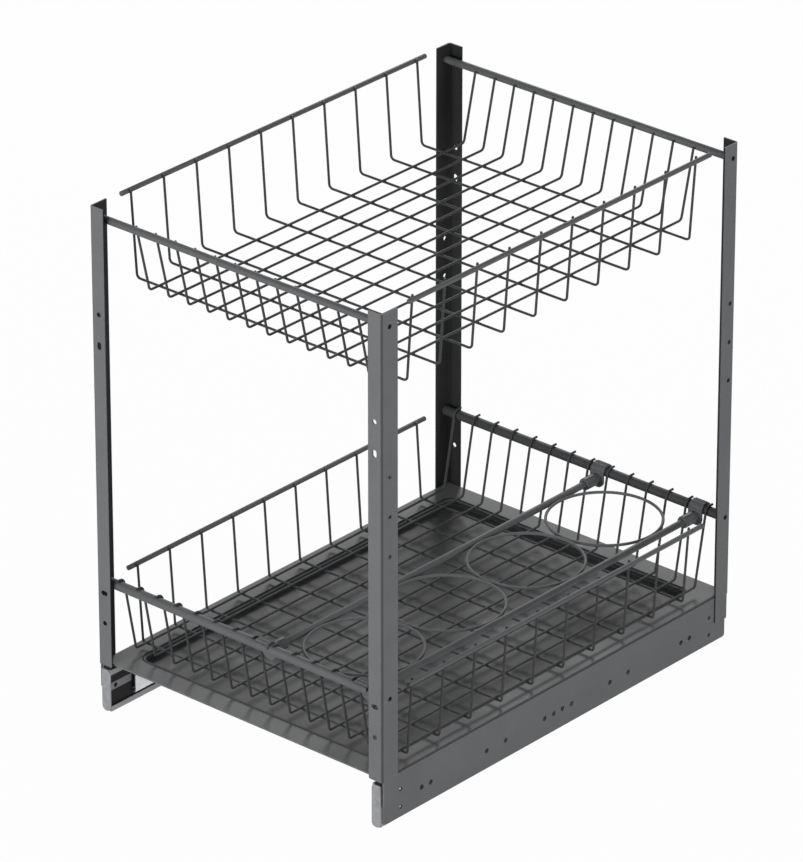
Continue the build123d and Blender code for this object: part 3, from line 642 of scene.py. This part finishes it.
def floor_welds(basket, wires):
    """Places of the welds where a basket's floor wires cross, with how each is squashed."""
    across, along = wire_rows(basket, wires)
    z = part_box(basket + "_depth_wires")[0].z
    return [(Vector((x, y, z)), (1.15, 1.15, 0.75)) for x in across for y in along]


def rail_welds(basket, wires):
    """Places of the welds between the side rails and the legs, with how each is squashed."""
    along = wire_rows(basket, wires)[1]
    rail = box_middle(basket + "_side_rail_right")
    x = rail.x - box_size(basket + "_side_rail_right").z / 2
    return [(Vector((side * x, y, rail.z)), (0.6, 1.2, 1.4)) for side in (-1, 1) for y in along]


def round_rod(mesh, start, end, diameter, sides):
    """Round rod between two points, with flat ends."""
    return bmesh.ops.create_cone(
        mesh, cap_ends=True, segments=sides, radius1=diameter / 2, radius2=diameter / 2,
        depth=(end - start).length, matrix=facing(end - start, (start + end) / 2),
    )["verts"]


def bar_for(node, axis, ease):
    """A round bar with eased ends that fills a straight CAD bar's box."""
    low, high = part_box(node)
    start, end = box_middle(node), box_middle(node)
    start[axis], end[axis] = low[axis], high[axis]
    mesh = bmesh.new()
    round_rod(mesh, start, end, (high - low)[(axis + 1) % 3], BAR_SIDES)
    ends = [f for f in mesh.faces if len(f.verts) == BAR_SIDES]
    rims = [e for f in ends for e in f.edges]
    bmesh.ops.bevel(
        mesh, geom=rims, offset=ease, offset_type="OFFSET", affect="EDGES", segments=2, profile=0.5,
        material=-1,
    )
    show(node + "_made", mesh, node)


def pan_mesh(sheet):
    """The drip tray as a shell: a hem, a lip, walls and a floor."""
    low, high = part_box("drip_tray")
    size, middle = box_size("drip_tray"), box_middle("drip_tray")
    plate_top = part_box("base_plate")[1].z
    mesh = bmesh.new()
    bmesh.ops.create_grid(mesh, x_segments=1, y_segments=1, size=0.5)
    bmesh.ops.scale(mesh, verts=mesh.verts[:], vec=(size.x, size.y, 1))
    bmesh.ops.translate(mesh, verts=mesh.verts[:], vec=(middle.x, middle.y, high.z))
    outer_corner = sheet.tray_corner + sheet.tray_lip - sheet.tray_sheet
    bmesh.ops.bevel(
        mesh, geom=mesh.verts[:], offset=outer_corner, offset_type="OFFSET", affect="VERTICES",
        segments=8, profile=0.5, material=-1,
    )
    return sink_pan(mesh, sheet, high.z - plate_top, high.z - low.z)


def sink_pan(mesh, sheet, hem_height, depth):
    """Insets the lip, sinks the pan and folds the hem down from a rounded outline."""
    outline = mesh.edges[:]
    floor = mesh.faces[:][0]
    bmesh.ops.inset_region(mesh, faces=[floor], thickness=sheet.tray_lip, use_even_offset=True)
    made = bmesh.ops.extrude_face_region(mesh, geom=[floor])
    sunk = corners_of(made["geom"])
    bmesh.ops.translate(mesh, verts=sunk, vec=(0, 0, sheet.tray_sheet - depth))
    bmesh.ops.delete(mesh, geom=[floor], context="FACES_ONLY")
    bmesh.ops.bevel(
        mesh, geom=edges_among(sunk), offset=sheet.tray_floor_bend, offset_type="OFFSET", affect="EDGES",
        segments=4, profile=0.5, material=-1,
    )
    hem = bmesh.ops.extrude_edge_only(mesh, edges=[e for e in outline if e.is_valid])
    bmesh.ops.translate(mesh, verts=corners_of(hem["geom"]), vec=-UP * hem_height)
    bmesh.ops.recalc_face_normals(mesh, faces=mesh.faces[:])
    if max(mesh.faces, key=lambda f: f.calc_area()).normal.z < 0:
        bmesh.ops.reverse_faces(mesh, faces=mesh.faces[:])
    return mesh


# Steps of a rivet's cup and of the pip in it, each inward and outward as a share of the rivet's diameter
CUP = ((0.03, 0.0), (0.03, -0.36), (0.08, 0.0))
PIP_FOOT = ((0.15, 0.26),)
PIP_TOP = ((0.05, 0.06), (0.05, 0.03))
# Shift of the pip, a painted highlight, toward the upper front of the cup where the light glints
PIP_TOWARD_LIGHT = Vector((0, -0.14, 0.10))


def press(mesh, crown, steps, diameter):
    """Insets and pushes the crown step by step, and gives the faces round it."""
    made = []
    for inward, outward in steps:
        made += bmesh.ops.inset_region(
            mesh, faces=[crown], thickness=inward * diameter, depth=outward * diameter, use_even_offset=True
        )["faces"]
    return made


def cupped_rivet(mesh, place, outward, length, diameter, pip):
    """Rivet with a cup pressed into its outer end; pip raises a bright dome from the cup's bottom, set
    toward the light as a painted highlight.
    """
    corners = round_rod(mesh, place - outward * length, place, diameter, RIVET_SIDES)
    crown = next(f for v in corners for f in v.link_faces if f.normal.dot(outward) > 0.9)
    press(mesh, crown, CUP, diameter)
    if pip:
        press(mesh, crown, PIP_FOOT, diameter)
        bmesh.ops.translate(mesh, verts=crown.verts[:], vec=PIP_TOWARD_LIGHT * diameter)
        # The pip's faces take the bright finish as a painted highlight
        for face in [crown, *press(mesh, crown, PIP_TOP, diameter)]:
            face.material_index = 1


# Operators

class RACK_OT_posts(bpy.types.Operator):
    """Four folded corner posts with their holes and slots"""
    bl_idname = "rack.posts"
    bl_label = "Corner posts"

    def execute(self, context):
        for place, back in (("front", -1), ("rear", 1)):
            for side, right in (("left", -1), ("right", 1)):
                post = eased_copy(place + "_post_" + side, context.scene.rack_sheet.edge)
                self.paint_shade(post, right, back)
        return {"FINISHED"}

    def paint_shade(self, post, right, back, tilt=0.3):
        """Painted shade: a darker coat on the faces that look into the rack, flange ends too, and a darker
        line on the outer fold.
        """
        paint_where(post, "posts inside", lambda n: n.x * right < -tilt or n.y * back < -tilt)
        paint_where(post, "folds", lambda n: n.x * right > tilt and n.y * back > tilt)


class RACK_OT_base(bpy.types.Operator):
    """Folded base plate and the drip tray that lies in its window"""
    bl_idname = "rack.base"
    bl_label = "Base plate and drip tray"

    def execute(self, context):
        sheet = context.scene.rack_sheet
        plate = eased_copy("base_plate", sheet.edge)
        # Painted shade along the bends between the plate's top and its skirts
        paint_where(plate, "folds", lambda n: n.z > 0.2 and abs(n.x) > 0.5)
        tray = show("drip_tray_made", pan_mesh(sheet), "drip_tray", sharp=50.0, recalculate=False)
        lip = tray.modifiers.new("eased lip", "BEVEL")
        lip.width = sheet.lip_edge
        lip.segments = 3
        lip.limit_method = "ANGLE"
        lip.angle_limit = radians(50)
        wall = tray.modifiers.new("sheet", "SOLIDIFY")
        wall.thickness = sheet.tray_sheet
        wall.offset = -1.0
        return {"FINISHED"}


class RACK_OT_rods(bpy.types.Operator):
    """Rods between the posts and the screws that hold their ends"""
    bl_idname = "rack.rods"
    bl_label = "Rods and screws"

    def execute(self, context):
        for basket in ("upper_basket", "lower_basket"):
            for place in ("front", "rear"):
                bar_for(basket + "_" + place + "_rod", 0, context.scene.rack_wires.bar_end)
        eased_copy("rod_screws", context.scene.rack_sheet.screw_edge)
        return {"FINISHED"}


class RACK_OT_baskets(bpy.types.Operator):
    """Wires, side rails and welds of the upper and lower basket"""
    bl_idname = "rack.baskets"
    bl_label = "Baskets"

    def execute(self, context):
        wires = context.scene.rack_wires
        self.basket("upper_basket", upper_depth_wires(wires), wires.upper_taper, wires.upper_bend, wires)
        self.basket("lower_basket", lower_depth_wires(wires), wires.lower_taper, wires.lower_bend, wires)
        return {"FINISHED"}

    def basket(self, basket, lengthwise, taper, bend, wires):
        across, along = wire_rows(basket, wires)
        repeat_along(lengthwise, Vector((1, 0, 0)), across)
        show(basket + "_depth_wires_made", lengthwise, basket + "_depth_wires")
        legs = width_wires(basket, taper, bend, wires)
        repeat_along(legs, Vector((0, 1, 0)), along)
        add_nuggets(legs, floor_welds(basket, wires) + rail_welds(basket, wires), wires.nugget)
        show(basket + "_width_wires_made", legs, basket + "_width_wires")
        for side in ("left", "right"):
            bar_for(basket + "_side_rail_" + side, 1, wires.rail_end)


class RACK_OT_divider(bpy.types.Operator):
    """Bottle divider: two rods, four rings and the clips over the lower rods"""
    bl_idname = "rack.divider"
    bl_label = "Bottle divider"

    def execute(self, context):
        wires = context.scene.rack_wires
        for side in ("left", "right"):
            bar_for("divider_rod_" + side, 1, wires.bar_end)
            for place in ("front", "rear"):
                eased_copy("divider_clip_" + place + "_" + side, context.scene.rack_sheet.moulded_edge)
        for node in NODE_SLOT:
            if node.startswith("divider_ring_"):
                self.ring(node, wires.ring_wire / 2)
        return {"FINISHED"}

    def ring(self, node, radius):
        middle, size = box_middle(node), box_size(node)
        mesh = bmesh.new()
        start = middle + Vector((size.x / 2 - radius, 0, 0))
        upright = Matrix.Translation(start) @ Matrix.Rotation(pi / 2, 4, "X")
        corners = bmesh.ops.create_circle(mesh, segments=RING_SIDES, radius=radius, matrix=upright)["verts"]
        bmesh.ops.spin(
            mesh, geom=corners + edges_among(corners), cent=middle, axis=UP, angle=2 * pi, steps=RING_STEPS,
            use_merge=True, use_duplicate=False,
        )
        show(node + "_made", mesh, node)


class RACK_OT_runners(bpy.types.Operator):
    """Ball-bearing runners: members, cages, balls, end stops and rivets"""
    bl_idname = "rack.runners"
    bl_label = "Runners"

    def execute(self, context):
        sheet = context.scene.rack_sheet
        for side in ("left", "right"):
            for member in ("outer", "middle", "inner"):
                eased_copy("runner_" + member + "_member_" + side, sheet.steel_edge)
            eased_copy("runner_bumper_" + side, sheet.moulded_edge)
            eased_copy("runner_stop_strip_" + side, sheet.steel_edge)
            for row in ("outer", "inner"):
                eased_copy(row + "_ball_cage_" + side, 0.0)
                self.balls(row + "_balls_" + side, sheet.balls)
        self.rivets(sheet)
        return {"FINISHED"}

    def balls(self, node, count):
        """The two rows of balls in a cage."""
        low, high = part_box(node)
        radius = (high.x - low.x) / 2
        mesh = bmesh.new()
        for y in even_places(low.y + radius, high.y - radius, count):
            for z in (low.z + radius, high.z - radius):
                place = Matrix.Translation(((low.x + high.x) / 2, y, z))
                bmesh.ops.create_icosphere(mesh, subdivisions=3, radius=radius, matrix=place)
        show(node + "_made", mesh, node)

    def rivets(self, sheet):
        """Rivets at the ends of the skirts, flush with them; the front ones have a bright pip, a painted
        highlight.
        """
        low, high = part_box("skirt_rivets")
        skirt_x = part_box("base_plate")[1].x
        radius = sheet.rivet / 2
        mesh = bmesh.new()
        for outward in (Vector((-1, 0, 0)), Vector((1, 0, 0))):
            for y in (low.y + radius, high.y - radius):
                for z in (low.z + radius, high.z - radius):
                    place = Vector((outward.x * skirt_x, y, z))
                    cupped_rivet(mesh, place, outward, sheet.rivet_length, sheet.rivet, y < 0)
        rivets = show("skirt_rivets_made", mesh, "skirt_rivets")
        rivets.data.materials.append(finish_for("painted pip highlights"))


class RACK_OT_floor_rails(bpy.types.Operator):
    """Rails on the cabinet floor that carry the inner members, and their rivets"""
    bl_idname = "rack.floor_rails"
    bl_label = "Floor rails"

    def execute(self, context):
        sheet = context.scene.rack_sheet
        eased_copy("front_floor_rail", sheet.edge)
        eased_copy("rear_floor_rail", sheet.edge)
        eased_copy("rail_rivets", sheet.head_edge, 4)
        return {"FINISHED"}


WHITE = (1.0, 1.0, 1.0)
FLOOR_HALF = 9.0
FLOOR_WHITE = 0.98
WORLD_LIGHT = 0.17
BACKDROP_LIGHT = 1.0
LAMP_AIM = Vector((0.0, 0.0, 0.26))
# Each lamp's name, the direction to it, its distance from the aim, its width and its power
LAMPS = (
    ("key", (-7.6, 10.2, 6.4), 3.6, 0.8, 60.0),
    ("front_fill", (-0.1, -1.0, 0.05), 3.4, 2.0, 111.0),
    ("side_fill", (1.0, -0.1, 0.05), 3.4, 1.8, 70.0),
)
CAMERA_AIM = Vector((-0.019505, 0.0, 0.25807))
CAMERA_AZIMUTH = radians(41.261)
CAMERA_ELEVATION = radians(26.308)
CAMERA_DISTANCE = 6.94496
FOCAL_PIXELS = 7223.8
PICTURE_PIXELS = 862.0
SENSOR_WIDTH = 36.0
FAR_CLIP = 60.0


class RACK_OT_stage(bpy.types.Operator):
    """Plain pale floor, soft lamps and the camera"""
    bl_idname = "rack.stage"
    bl_label = "Stage"

    def execute(self, context):
        self.floor(context)
        self.world(context.scene)
        for lamp in LAMPS:
            self.lamp(*lamp)
        self.camera(context.scene)
        context.scene.view_settings.view_transform = "Standard"
        return {"FINISHED"}

    def floor(self, context):
        mesh = bmesh.new()
        bmesh.ops.create_grid(mesh, x_segments=1, y_segments=1, size=FLOOR_HALF)
        data = bpy.data.meshes.new("floor")
        mesh.to_mesh(data)
        mesh.free()
        floor = bpy.data.objects.new("floor", data)
        context.scene.collection.objects.link(floor)
        data.materials.append(self.floor_material(tuple(context.scene.rack_colours.floor)))

    def floor_material(self, colour):
        """White where the camera or a reflection sees it, but for the object's shadow; grey as a light."""
        finish = Finish("pale floor", Base_Color=colour, Roughness=0.9)
        lit = finish.out(finish.shader)
        glow = finish.out(finish.node("ShaderNodeEmission", {}, {"Color": WHITE, "Strength": 1.0}))
        mixed = finish.node(
            "ShaderNodeMixShader", {}, {0: finish.seen_directly() * FLOOR_WHITE, 1: lit, 2: glow}
        )
        finish.feed(finish.output.inputs["Surface"], finish.out(mixed))
        return finish.material

    def world(self, scene):
        """White backdrop, which lights the rack only faintly."""
        scene.world = bpy.data.worlds.new("studio")
        nodes = Nodes(scene.world)
        light, backdrop = (
            nodes.out(nodes.node("ShaderNodeBackground", {}, {"Color": WHITE, "Strength": strength}))
            for strength in (WORLD_LIGHT, BACKDROP_LIGHT)
        )
        mixed = nodes.node("ShaderNodeMixShader", {}, {0: nodes.seen_directly(), 1: light, 2: backdrop})
        nodes.node("ShaderNodeOutputWorld", {}, {"Surface": nodes.out(mixed)})

    def lamp(self, name, toward, distance, width, power):
        """A square lamp that shines at the rack from a direction."""
        data = bpy.data.lights.new(name, "AREA")
        data.shape = "SQUARE"
        data.size = width
        data.energy = power
        lamp = bpy.data.objects.new(name, data)
        bpy.context.scene.collection.objects.link(lamp)
        direction = Vector(toward).normalized()
        lamp.location = LAMP_AIM + direction * distance
        lamp.rotation_mode = "QUATERNION"
        lamp.rotation_quaternion = direction.to_track_quat("Z", "Y")

    def camera(self, scene):
        """The photograph's view, from the right and above."""
        level = cos(CAMERA_ELEVATION)
        back = Vector((sin(CAMERA_AZIMUTH) * level, -cos(CAMERA_AZIMUTH) * level, sin(CAMERA_ELEVATION)))
        data = bpy.data.cameras.new("camera")
        data.sensor_width = SENSOR_WIDTH
        data.lens = FOCAL_PIXELS * SENSOR_WIDTH / PICTURE_PIXELS
        data.clip_end = FAR_CLIP
        camera = bpy.data.objects.new("camera", data)
        scene.collection.objects.link(camera)
        camera.location = CAMERA_AIM + back * CAMERA_DISTANCE
        camera.rotation_mode = "QUATERNION"
        camera.rotation_quaternion = back.to_track_quat("Z", "Y")
        scene.camera = camera


OPERATORS = (
    RACK_OT_posts,
    RACK_OT_base,
    RACK_OT_rods,
    RACK_OT_baskets,
    RACK_OT_divider,
    RACK_OT_runners,
    RACK_OT_floor_rails,
    RACK_OT_stage,
)


class RACK_PT_panel(bpy.types.Panel):
    """Lists the rack's pieces and their settings"""
    bl_label = "Bottle rack"
    bl_idname = "RACK_PT_panel"
    bl_space_type = "VIEW_3D"
    bl_region_type = "UI"
    bl_category = "Bottle rack"

    def draw(self, context):
        column = self.layout.column()
        for settings in (context.scene.rack_sheet, context.scene.rack_wires, context.scene.rack_colours):
            for key in settings.__annotations__:
                column.prop(settings, key)
        for operator in OPERATORS:
            column.operator(operator.bl_idname)


CLASSES = (RACK_PG_sheet, RACK_PG_wires, RACK_PG_colours, *OPERATORS, RACK_PT_panel)


def register():
    for item in CLASSES:
        bpy.utils.register_class(item)
    bpy.types.Scene.rack_sheet = PointerProperty(type=RACK_PG_sheet)
    bpy.types.Scene.rack_wires = PointerProperty(type=RACK_PG_wires)
    bpy.types.Scene.rack_colours = PointerProperty(type=RACK_PG_colours)


def unregister():
    for key in ("rack_sheet", "rack_wires", "rack_colours"):
        delattr(bpy.types.Scene, key)
    for item in reversed(CLASSES):
        bpy.utils.unregister_class(item)


def main():
    register()
    for operator in OPERATORS:
        group, name = operator.bl_idname.split(".")
        getattr(getattr(bpy.ops, group), name)()


if __name__ == "__main__":
    main()
